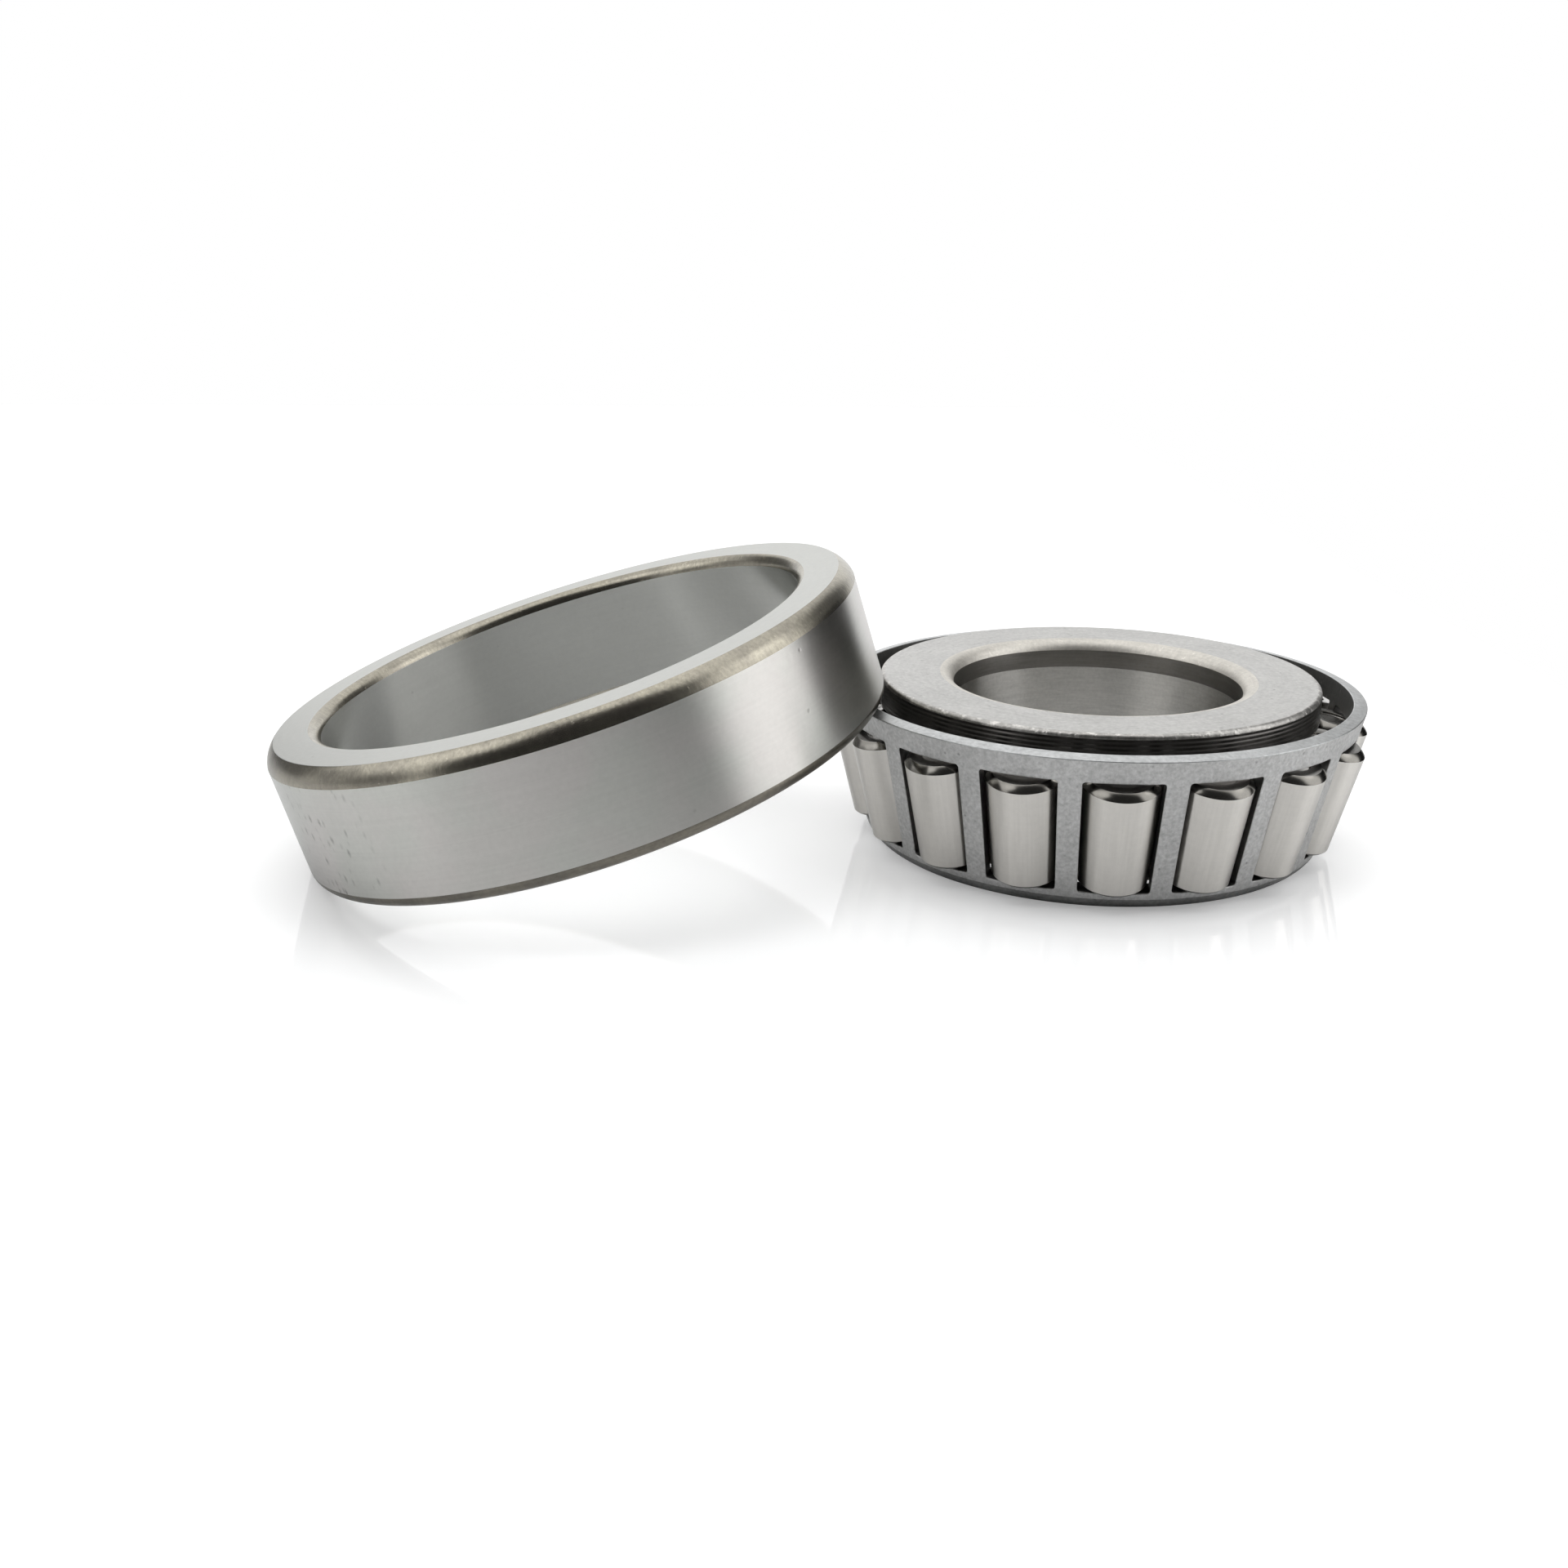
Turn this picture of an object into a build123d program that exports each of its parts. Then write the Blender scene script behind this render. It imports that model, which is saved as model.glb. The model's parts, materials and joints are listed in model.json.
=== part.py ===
from build123d import *
import os
from math import atan, cos, radians, sin, tan

# Single-row tapered roller bearing, metric size 30 x 62 x 17.25, in millimetres.
# The inner ring, cage and rollers stand on the cage's small end, with the bore axis on Z.
# The separate outer ring (cup) leans on the cage's rim, with its low edge on the same table.

# Boundary dimensions of the standard size
bore_diameter = 30.0
outer_diameter = 62.0
inner_ring_width = 16.0
cup_width = 14.0
assembled_width = 17.25
contact_angle = radians(14 + 2 / 60 + 10 / 3600)
cup_raceway_small_diameter = 49.99

# Clearances
raceway_clearance = 0.04
rib_clearance = 0.08
small_rib_clearance = 0.15
pocket_clearance = 0.07
pocket_end_gap = 0.17
pocket_head_gap = 0.46

# Rollers
roller_count = 17
first_roller_azimuth = -94.5
roller_large_diameter = 7.45
roller_reach = 116.3
roller_length = 11.4
roller_large_chamfer = 0.65
roller_small_chamfer = 0.35
roller_chamfer_bulge = 0.12
recess_diameter = 3.9
recess_depth = 0.3

# Inner ring
ring_lift = 1.36
rib_diameter = 45.9
rib_edge_radius = 0.48
small_rib_diameter = 39.1
small_rib_chamfer = 0.35
bore_chamfer_radial = 1.6
bore_chamfer_axial = 1.05
bore_chamfer_bulge = 0.28
bore_lead_radial = 0.12
bore_lead_axial = 3.0
bore_small_chamfer = 1.0
undercut_depth = 0.25
undercut_width = 0.6

# Cage
sheet_thickness = 1.4
cage_rim_radius = 27.4
cage_rim_height = 16.11
cage_bend_radius = 2.2
cage_flange_radius = 20.0
window_corner_radius = 0.3
window_cut_depth = 4.0

# Cup, and the way it leans
cup_back_chamfer_radial = 1.22
cup_back_chamfer_axial = 1.77
cup_back_chamfer_bulge = 0.3
cup_front_edge_radius = 1.25
cup_mouth_chamfer = 0.6
cup_throat_radial = 1.2
cup_throat_axial = 1.1
cup_throat_bulge = 0.2
cup_offset = 54.72
cup_azimuth = radians(-174.3)
cup_tilt = radians(16.5)

# All the rolling cones meet at one point on the bore axis, below the table
ring_back = ring_lift + inner_ring_width
cup_small_radius = cup_raceway_small_diameter / 2
apex = ring_back - assembled_width - cup_small_radius / tan(contact_angle)
roller_half_angle = atan(roller_large_diameter / 2 / roller_reach)
roller_tilt = contact_angle - roller_half_angle
ring_raceway_angle = contact_angle - 2 * roller_half_angle
roller_start = roller_reach - roller_length


def raceway_point(reach, sink=0.0):
    """Point of the inner ring's raceway at a reach along the roller axes, sunk below it."""
    slant = reach / cos(roller_half_angle)
    gap = raceway_clearance + sink
    return (
        slant * sin(ring_raceway_angle) - gap * cos(ring_raceway_angle),
        apex + slant * cos(ring_raceway_angle) + gap * sin(ring_raceway_angle),
    )


def end_face_height(radius, reach):
    """Height, at a radius, of the face square to the roller axes at a reach from the apex."""
    return (reach - radius * sin(roller_tilt)) / cos(roller_tilt) + apex


def roller_radius(reach):
    """Radius of a roller at a reach from the apex."""
    return reach * tan(roller_half_angle)


def roller_direction(azimuth):
    """Unit vector along a roller's axis, from its small end to its large end."""
    return Vector(
        sin(roller_tilt) * cos(azimuth), sin(roller_tilt) * sin(azimuth), cos(roller_tilt)
    )


def wall_normal(azimuth):
    """Unit vector square to the roller axis, pointing away from the bore axis."""
    return Vector(
        cos(roller_tilt) * cos(azimuth), cos(roller_tilt) * sin(azimuth), -sin(roller_tilt)
    )


# Inner ring: bore with a lead-in below its chamfer, back face, guide rib, raceway between two
# undercuts, and small rib
bore_radius = bore_diameter / 2
rib_radius = rib_diameter / 2
small_rib_radius = small_rib_diameter / 2
rib_face = roller_reach + rib_clearance
small_rib_face = roller_start - small_rib_clearance

with BuildPart() as inner_ring:
    with BuildSketch(Plane.XZ) as ring_section:
        with BuildLine() as ring_outline:
            bore_line = Polyline(
                (bore_radius, ring_lift + bore_small_chamfer),
                (bore_radius, ring_back - bore_lead_axial),
                (bore_radius + bore_lead_radial, ring_back - bore_chamfer_axial),
            )
            bore_edge = SagittaArc(
                bore_line @ 1, (bore_radius + bore_chamfer_radial, ring_back), bore_chamfer_bulge
            )
            back_line = Line(bore_edge @ 1, (rib_radius - rib_edge_radius, ring_back))
            rib_edge = TangentArc(
                back_line @ 1, (rib_radius, ring_back - rib_edge_radius), tangent=back_line % 1
            )
            Polyline(
                rib_edge @ 1,
                (rib_radius, end_face_height(rib_radius, rib_face)),
                raceway_point(rib_face),
                raceway_point(rib_face - undercut_width / 2, undercut_depth),
                raceway_point(rib_face - undercut_width),
                raceway_point(small_rib_face + undercut_width),
                raceway_point(small_rib_face + undercut_width / 2, undercut_depth),
                raceway_point(small_rib_face),
                (small_rib_radius, end_face_height(small_rib_radius, small_rib_face)),
                (small_rib_radius, ring_lift + small_rib_chamfer),
                (small_rib_radius - small_rib_chamfer, ring_lift),
                (bore_radius + bore_small_chamfer, ring_lift),
                bore_line @ 0,
            )
        make_face()
    revolve(axis=Axis.Z)

# Cage: pressed sheet, a cone that follows the roller axes and turns in under the small ends
rim_inner_radius = cage_rim_radius - sheet_thickness * cos(roller_tilt)
rim_inner_height = cage_rim_height + sheet_thickness * sin(roller_tilt)
bend_drop = cage_rim_height - cage_bend_radius
bend_centre = cage_rim_radius - bend_drop * tan(roller_tilt) - cage_bend_radius / cos(roller_tilt)
inner_bend_radius = cage_bend_radius - sheet_thickness


def bend_point(radius):
    """Where a bend of this radius, about the bend's centre, meets the conical wall."""
    return (
        bend_centre + radius * cos(roller_tilt),
        cage_bend_radius - radius * sin(roller_tilt),
    )


# Each window is a trapezoid punched square through the wall, a little larger than its roller
wall_outer_reach = cage_rim_radius * cos(roller_tilt) - (cage_rim_height - apex) * sin(roller_tilt)
window_foot = roller_start - pocket_end_gap
window_head = roller_reach + pocket_head_gap
window_middle = (window_foot + window_head) / 2
window_half_height = (window_head - window_foot) / 2
window_foot_half_width = roller_radius(window_foot) + pocket_clearance
window_head_half_width = roller_radius(window_head) + pocket_clearance
window_centre = Vector(0, 0, apex) + roller_direction(0) * window_middle
window_plane = Plane(
    origin=window_centre + wall_normal(0) * wall_outer_reach, x_dir=(0, 1, 0), z_dir=wall_normal(0)
)

with BuildPart() as window:
    with BuildSketch(window_plane) as window_outline:
        with BuildLine() as window_edges:
            Polyline(
                (-window_foot_half_width, -window_half_height),
                (window_foot_half_width, -window_half_height),
                (window_head_half_width, window_half_height),
                (-window_head_half_width, window_half_height),
                close=True,
            )
        make_face()
        fillet(window_outline.vertices(), window_corner_radius)
    extrude(amount=window_cut_depth / 2, both=True)

with BuildPart() as cage:
    with BuildSketch(Plane.XZ) as cage_section:
        with BuildLine() as cage_outline:
            outer_wall = Line((cage_rim_radius, cage_rim_height), bend_point(cage_bend_radius))
            outer_bend = TangentArc(
                outer_wall @ 1, (bend_centre, 0), tangent=outer_wall % 1
            )
            flange = Polyline(
                outer_bend @ 1,
                (cage_flange_radius, 0),
                (cage_flange_radius, sheet_thickness),
                (bend_centre, sheet_thickness),
            )
            inner_bend = TangentArc(
                flange @ 1, bend_point(inner_bend_radius), tangent=(1, 0)
            )
            Polyline(inner_bend @ 1, (rim_inner_radius, rim_inner_height), outer_wall @ 0)
        make_face()
    revolve(axis=Axis.Z)
    with PolarLocations(0, roller_count, start_angle=first_roller_azimuth):
        add(window.part, mode=Mode.SUBTRACT)


def make_roller(azimuth):
    """One tapered roller, with a rounded chamfer at each end and a recess in the large end."""
    apex_point = Vector(0, 0, apex)
    outward = wall_normal(azimuth)
    direction = roller_direction(azimuth)
    large_shoulder = roller_reach - roller_large_chamfer
    small_shoulder = roller_start + roller_small_chamfer
    recess_radius = recess_diameter / 2
    with BuildPart() as roller:
        with BuildSketch(Plane(apex_point, x_dir=outward, z_dir=outward.cross(direction))):
            with BuildLine():
                small_face = Line(
                    (0, roller_start), (roller_radius(small_shoulder) - roller_small_chamfer, roller_start)
                )
                small_edge = SagittaArc(
                    small_face @ 1, (roller_radius(small_shoulder), small_shoulder), -roller_chamfer_bulge / 2
                )
                body = Line(small_edge @ 1, (roller_radius(large_shoulder), large_shoulder))
                large_edge = SagittaArc(
                    body @ 1,
                    (roller_radius(large_shoulder) - roller_large_chamfer, roller_reach),
                    -roller_chamfer_bulge,
                )
                Polyline(
                    large_edge @ 1,
                    (recess_radius, roller_reach),
                    (recess_radius, roller_reach - recess_depth),
                    (0, roller_reach - recess_depth),
                    small_face @ 0,
                )
            make_face()
        revolve(axis=Axis(apex_point, direction))
    return roller


rollers = [
    make_roller(radians(first_roller_azimuth + 360 * number / roller_count))
    for number in range(roller_count)
]

# Cup: a plain cylinder outside, the raceway cone inside; its thick back face is uppermost
outer_radius = outer_diameter / 2
cup_half = cup_width / 2
cup_mouth_radius = cup_small_radius + cup_width * tan(contact_angle)
mouth_step = cup_mouth_chamfer * tan(contact_angle)
throat_step = cup_throat_axial * tan(contact_angle)
throat_edge = (cup_small_radius + throat_step, cup_half - cup_throat_axial)
cup_height = (
    (outer_radius - cup_front_edge_radius) * sin(cup_tilt)
    + (cup_half - cup_front_edge_radius) * cos(cup_tilt)
    + cup_front_edge_radius
)
cup_centre = Vector(cup_offset * cos(cup_azimuth), cup_offset * sin(cup_azimuth), cup_height)
cup_axis = Vector(sin(cup_tilt) * cos(cup_azimuth), sin(cup_tilt) * sin(cup_azimuth), cos(cup_tilt))
cup_side = Vector(-sin(cup_azimuth), cos(cup_azimuth), 0)

with BuildPart() as cup:
    with BuildSketch(Plane(cup_centre, x_dir=cup_side, z_dir=cup_side.cross(cup_axis))) as cup_section:
        with BuildLine() as cup_outline:
            outside = Line(
                (outer_radius, cup_front_edge_radius - cup_half),
                (outer_radius, cup_half - cup_back_chamfer_axial),
            )
            back_edge = SagittaArc(
                outside @ 1, (outer_radius - cup_back_chamfer_radial, cup_half), -cup_back_chamfer_bulge
            )
            back_face = Line(back_edge @ 1, (cup_small_radius + cup_throat_radial, cup_half))
            throat = SagittaArc(back_face @ 1, throat_edge, -cup_throat_bulge)
            raceway = Line(
                throat @ 1, (cup_mouth_radius - mouth_step, cup_mouth_chamfer - cup_half)
            )
            front_face = Polyline(
                raceway @ 1,
                (cup_mouth_radius + cup_mouth_chamfer, -cup_half),
                (outer_radius - cup_front_edge_radius, -cup_half),
            )
            TangentArc(front_face @ 1, outside @ 0, tangent=(1, 0))
        make_face()
    revolve(axis=Axis(cup_centre, cup_axis))

inner_ring.part.label = "inner_ring"
cage.part.label = "cage"
cup.part.label = "cup"

os.makedirs("parts", exist_ok=True)
export_step(inner_ring.part, "parts/inner_ring.step")
export_step(cage.part, "parts/cage.step")
export_step(cup.part, "parts/cup.step")
for number, roller in enumerate(rollers, start=1):
    roller.part.label = f"roller_{number:02d}"
    export_step(roller.part, f"parts/roller_{number:02d}.step")
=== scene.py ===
import json
from math import asin, atan2, cos, pi, radians, sin, tan

import bmesh
import bpy
from mathutils import Matrix, Vector


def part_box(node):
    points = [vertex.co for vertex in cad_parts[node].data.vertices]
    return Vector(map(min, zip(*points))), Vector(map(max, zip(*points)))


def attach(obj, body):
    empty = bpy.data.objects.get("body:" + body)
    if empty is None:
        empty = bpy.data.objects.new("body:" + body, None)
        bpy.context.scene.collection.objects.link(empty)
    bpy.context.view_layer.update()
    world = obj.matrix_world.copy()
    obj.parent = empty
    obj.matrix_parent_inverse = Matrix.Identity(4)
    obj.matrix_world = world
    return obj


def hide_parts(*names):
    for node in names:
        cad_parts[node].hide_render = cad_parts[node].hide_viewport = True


# Looks of the tapered roller bearing. Shapes are worked out in millimetres in each piece's own
# frame, with its axis on Z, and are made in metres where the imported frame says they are.

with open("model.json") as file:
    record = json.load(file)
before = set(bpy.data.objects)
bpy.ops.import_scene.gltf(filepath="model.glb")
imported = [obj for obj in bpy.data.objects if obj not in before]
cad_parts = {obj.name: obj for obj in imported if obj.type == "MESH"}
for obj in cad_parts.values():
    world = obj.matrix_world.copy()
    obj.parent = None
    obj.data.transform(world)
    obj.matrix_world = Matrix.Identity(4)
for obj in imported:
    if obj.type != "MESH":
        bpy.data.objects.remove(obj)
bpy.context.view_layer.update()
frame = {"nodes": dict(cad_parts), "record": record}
record = frame["record"]
mounts = {mount["name"]: mount for mount in record["mounts"]}
joints = {joint["name"]: joint for joint in record["behaviour"]["joints"]}
roller_names = sorted(name for name in frame["nodes"] if name.startswith("roller_"))

MM = 0.001

# Finish of the meshes: rounds up to LARGE_ROUND have few steps, larger ones three times as many
EDGE_ROUND = 0.09
LARGE_ROUND = 0.2
ROUND_STEPS = 3
RING_COLUMNS = 384
ROLLER_COLUMNS = 96

# Clean-up of the meshes, in metres
MERGE_DISTANCE = 2e-7
SHORTEST_EDGE = 1e-7

# Frame values, in millimetres
bore_radius = mounts["shaft_bore"]["dims"]["r_mm"]
outer_radius = mounts["housing_seat"]["dims"]["r_mm"]
ring_back = mounts["inner_ring_back_face"]["pos_m"][2] / MM
ring_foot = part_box("inner_ring")[0].z / MM
rib_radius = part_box("inner_ring")[1].x / MM
cage_rim_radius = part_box("cage")[1].x / MM
first_axis = Vector(joints["roller_01_spin"]["axis"])
first_middle = Vector(joints["roller_01_spin"]["pos_m"]) / MM
roller_tilt = Vector((0, 0, 1)).angle(first_axis)
first_azimuth = atan2(first_axis.y, first_axis.x)
apex = first_middle.z - first_middle.xy.length / tan(roller_tilt)
middle_reach = first_middle.xy.length / sin(roller_tilt)

# Rollers
roller_length = 11.4
roller_reach = middle_reach + roller_length / 2
roller_start = middle_reach - roller_length / 2
roller_large_radius = 3.725
roller_half_angle = atan2(roller_large_radius, roller_reach)
roller_large_chamfer = 0.65
roller_small_chamfer = 0.35
roller_bulge = 0.05
recess_radius = 1.95
recess_depth = 0.3

# Inner ring
raceway_clearance = 0.04
rib_clearance = 0.08
small_rib_clearance = 0.15
rib_edge_radius = 0.48
small_rib_radius = 19.55
small_rib_chamfer = 0.35
bore_chamfer_radial = 1.6
bore_chamfer_axial = 1.05
bore_chamfer_bulge = 0.28
bore_lead_radial = 0.12
bore_lead_axial = 3.0
bore_small_chamfer = 1.0
undercut_depth = 0.25
undercut_width = 0.6
groove_pitch = 0.44
groove_step = 0.2 * groove_pitch
groove_lead = 0.25 * groove_pitch
groove_depth = 0.045

# Cage
sheet = 1.4
cage_rim_height = 16.11
bend_radius = 2.2
flange_radius = 20.0
window_round = 0.3
pocket_clearance = 0.07
pocket_end_gap = 0.17
pocket_head_gap = 0.46
window_edge = 0.1
window_support = 0.18
across_segments = 12
upright_segments = 10
arc_steps = 4
bend_steps = 8

# Cup
cup_half = 7.0
contact_angle = roller_tilt + roller_half_angle
cup_small_radius = 24.995
cup_back_chamfer_radial = 1.22
cup_back_chamfer_axial = 1.77
cup_back_bulge = 0.2
cup_front_edge_radius = 1.25
cup_mouth_chamfer = 0.6
cup_throat_radial = 1.2
cup_throat_axial = 1.1
cup_throat_bulge = 0.2


# ---- Outlines --------------------------------------------------------------------------------

def bulged(start, end, bulge, steps=6):
    """Points from start to end on a shallow arc that stands out to the left of the way along."""
    start, end = Vector(start), Vector(end)
    way = end - start
    left = Vector((-way.y, way.x)).normalized()
    outwards = left if bulge > 0 else -left
    half = way.length / 2
    radius = (half * half + bulge * bulge) / (2 * abs(bulge))
    spread = asin(half / radius)
    points = []
    for step in range(steps + 1):
        angle = spread * (2 * step / steps - 1)
        on_chord = start + way / 2 + way.normalized() * sin(angle) * radius
        lift = (cos(angle) - cos(spread)) * radius
        points.append(on_chord + outwards * lift)
    return points


def rounded(before, corner, after, size, steps=ROUND_STEPS):
    """Points of a round of this radius on a corner."""
    back = (before - corner).normalized()
    on = (after - corner).normalized()
    half = back.angle(on) / 2
    centre = corner + (back + on).normalized() * size / sin(half)
    start = corner + back * size / tan(half) - centre
    end = corner + on * size / tan(half) - centre
    first = atan2(start.y, start.x)
    turn = (atan2(end.y, end.x) - first + pi) % (2 * pi) - pi
    return [
        centre + Vector((cos(first + turn * step / steps), sin(first + turn * step / steps))) * size
        for step in range(steps + 1)
    ]


class Outline:
    """An outline drawn run by run; each run has a finish, and the corners between runs are rounded."""

    def __init__(self):
        self.points = []
        self.sizes = []
        self.finishes = []

    def run(self, finish, points, corner=EDGE_ROUND, arcs=None):
        """Adds points up to the start of the next run.

        The first point is a corner rounded by this much, whose round may have a finish of its own.
        """
        for index, point in enumerate(points):
            self.points.append(Vector(point))
            self.sizes.append(corner if index == 0 else 0)
            self.finishes.append(finish)
        if arcs is not None:
            self.finishes[-len(points)] = (arcs, finish)

    def build(self):
        """Points and the finish of the stretch that follows each, with every corner rounded."""
        points, finishes = [], []
        count = len(self.points)
        for here in range(count):
            size = self.sizes[here]
            finish = self.finishes[here]
            arc_finish, finish = finish if isinstance(finish, tuple) else (finish, finish)
            if size == 0:
                points.append(self.points[here])
                finishes.append(finish)
                continue
            steps = ROUND_STEPS if size < LARGE_ROUND else 3 * ROUND_STEPS
            before, after = self.points[here - 1], self.points[(here + 1) % count]
            arc = rounded(before, self.points[here], after, size, steps)
            points += arc
            finishes += [arc_finish] * steps + [finish]
        return points, finishes


# ---- Meshes ----------------------------------------------------------------------------------

def finish_mesh(name, vertices, faces, finishes, materials):
    """One clean, smooth-shaded object from vertices in millimetres."""
    mesh = bpy.data.meshes.new(name)
    mesh.from_pydata([tuple(v * MM for v in vertex) for vertex in vertices], [], faces)
    mesh.polygons.foreach_set("material_index", finishes)
    work = bmesh.new()
    work.from_mesh(mesh)
    bmesh.ops.remove_doubles(work, verts=work.verts, dist=MERGE_DISTANCE)
    bmesh.ops.dissolve_degenerate(work, edges=work.edges, dist=SHORTEST_EDGE)
    bmesh.ops.recalc_face_normals(work, faces=work.faces)
    for face in work.faces:
        face.smooth = True
    work.to_mesh(mesh)
    work.free()
    for material in materials:
        mesh.materials.append(material)
    return mesh


def add_piece(name, mesh, matrix, body, node):
    """A piece that stands for a CAD node, which it hides, and rides on its body."""
    piece = bpy.data.objects.new(name, mesh)
    bpy.context.scene.collection.objects.link(piece)
    piece.matrix_world = matrix
    weighting = piece.modifiers.new("even_shading", "WEIGHTED_NORMAL")
    weighting.keep_sharp = True
    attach(piece, body)
    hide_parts(node)


def lathe(points, finishes, columns, closed=True, first=0.0):
    """Vertices and faces of an outline (radius, height) turned about Z."""
    rows = len(points)
    vertices = []
    for column in range(columns):
        angle = first + 2 * pi * column / columns
        vertices += [(p.x * cos(angle), p.x * sin(angle), p.y) for p in points]
    faces, kinds = [], []
    for column in range(columns):
        here = column * rows
        there = (column + 1) % columns * rows
        for row in range(rows if closed else rows - 1):
            up = (row + 1) % rows
            faces.append((here + row, there + row, there + up, here + up))
            kinds.append(finishes[row])
    return vertices, faces, kinds


def turned_mesh(name, outline, columns, materials):
    """A mesh turned from a closed outline; an outline that touches the axis closes on it."""
    points, finishes = outline.build()
    return finish_mesh(name, *lathe(points, finishes, columns), materials)


# ---- Materials -------------------------------------------------------------------------------

ROUGHNESS_SPREAD = 0.08
SIDE_REACH = radians(14)
STAIN_START, STAIN_END = -0.08, 0.12
NICK_RAMP = 0.12


def add_node(tree, kind, settings=(), **inputs):
    """A node with its settings and inputs; an input that is a socket is linked."""
    made = tree.nodes.new(kind)
    for key, value in dict(settings).items():
        setattr(made, key, value)
    for key, value in inputs.items():
        socket = made.inputs[int(key[1:])] if key[0] == "_" else made.inputs[key.replace("_", " ")]
        if isinstance(value, bpy.types.NodeSocket):
            tree.links.new(value, socket)
        else:
            socket.default_value = value
    return made


def math(tree, operation, first, second=0.0):
    """Output of a math node."""
    return add_node(tree, "ShaderNodeMath", {"operation": operation}, _0=first, _1=second).outputs[0]


def stretch(tree, value, low, high, new_low, new_high):
    """Output of a clamped map range node."""
    return add_node(
        tree, "ShaderNodeMapRange", {}, _0=value, _1=low, _2=high, _3=new_low, _4=new_high
    ).outputs[0]


def own_place(tree):
    """The piece's own coordinates: all three, and one by one."""
    place = add_node(tree, "ShaderNodeTexCoord").outputs["Object"]
    return place, add_node(tree, "ShaderNodeSeparateXYZ", {}, _0=place).outputs


def scaled_place(tree, around, along):
    """Own coordinates in features this wide around the axis and this long along it, in millimetres."""
    across, high = 1 / (around * MM), 1 / (along * MM)
    return add_node(
        tree, "ShaderNodeVectorMath", {"operation": "MULTIPLY"},
        _0=own_place(tree)[0], _1=(across, across, high),
    ).outputs[0]


def lines_round_axis(tree, run, pitch):
    """Coordinates whose noise lies in lines around the axis, run long and pitch apart."""
    _, axes = own_place(tree)
    flat = add_node(tree, "ShaderNodeCombineXYZ", {}, _0=axes[0], _1=axes[1]).outputs[0]
    radius = add_node(tree, "ShaderNodeVectorMath", {"operation": "LENGTH"}, _0=flat).outputs["Value"]
    across = math(tree, "ADD", radius, axes[2])
    return add_node(
        tree, "ShaderNodeCombineXYZ", {},
        _0=math(tree, "MULTIPLY", axes[0], 1 / (run * MM)),
        _1=math(tree, "MULTIPLY", axes[1], 1 / (run * MM)),
        _2=math(tree, "MULTIPLY", across, 1 / (pitch * MM)),
    ).outputs[0]


def noise(tree, vector, detail=2.0, roughness=0.5):
    """Noise about 0, mostly from -0.3 to 0.3, over coordinates in feature sizes."""
    made = add_node(
        tree, "ShaderNodeTexNoise", {"noise_dimensions": "3D"},
        Vector=vector, Scale=1.0, Detail=detail, Roughness=roughness,
    )
    return math(tree, "SUBTRACT", made.outputs[0], 0.5)


def round_marks(tree, spacing, size, share, length=1.0, side=None):
    """1 inside small marks, about spacing apart, in a share of the places where one could be.

    Marks may be longer than wide along the axis, and may keep to one side of the piece, given as
    its azimuth in degrees.
    """
    place = scaled_place(tree, spacing, spacing * length)
    cells = add_node(tree, "ShaderNodeTexVoronoi", {}, Vector=place, Scale=1.0)
    near = stretch(tree, cells.outputs["Distance"], 0.0, size / spacing, 1.0, 0.0)
    chance = add_node(tree, "ShaderNodeSeparateColor", {}, _0=cells.outputs["Color"]).outputs[0]
    marks = math(tree, "MULTIPLY", near, math(tree, "LESS_THAN", chance, share))
    if side is None:
        return marks
    flat = add_node(
        tree, "ShaderNodeVectorMath", {"operation": "MULTIPLY"}, _0=own_place(tree)[0], _1=(1, 1, 0)
    ).outputs[0]
    way = add_node(tree, "ShaderNodeVectorMath", {"operation": "NORMALIZE"}, _0=flat).outputs[0]
    facing = add_node(
        tree, "ShaderNodeVectorMath", {"operation": "DOT_PRODUCT"}, _0=way,
        _1=(cos(radians(side)), sin(radians(side)), 0),
    ).outputs["Value"]
    on_side = stretch(tree, facing, cos(SIDE_REACH), cos(SIDE_REACH / 2), 0.0, 1.0)
    return math(tree, "MULTIPLY", marks, on_side)


def mix_colour(tree, share, first, second):
    """Output of a colour mix."""
    made = add_node(tree, "ShaderNodeMix", {"data_type": "RGBA"}, _0=share)
    for index, value in ((6, first), (7, second)):
        if isinstance(value, bpy.types.NodeSocket):
            tree.links.new(value, made.inputs[index])
        else:
            made.inputs[index].default_value = (*value, 1)
    return made.outputs[2]


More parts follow.
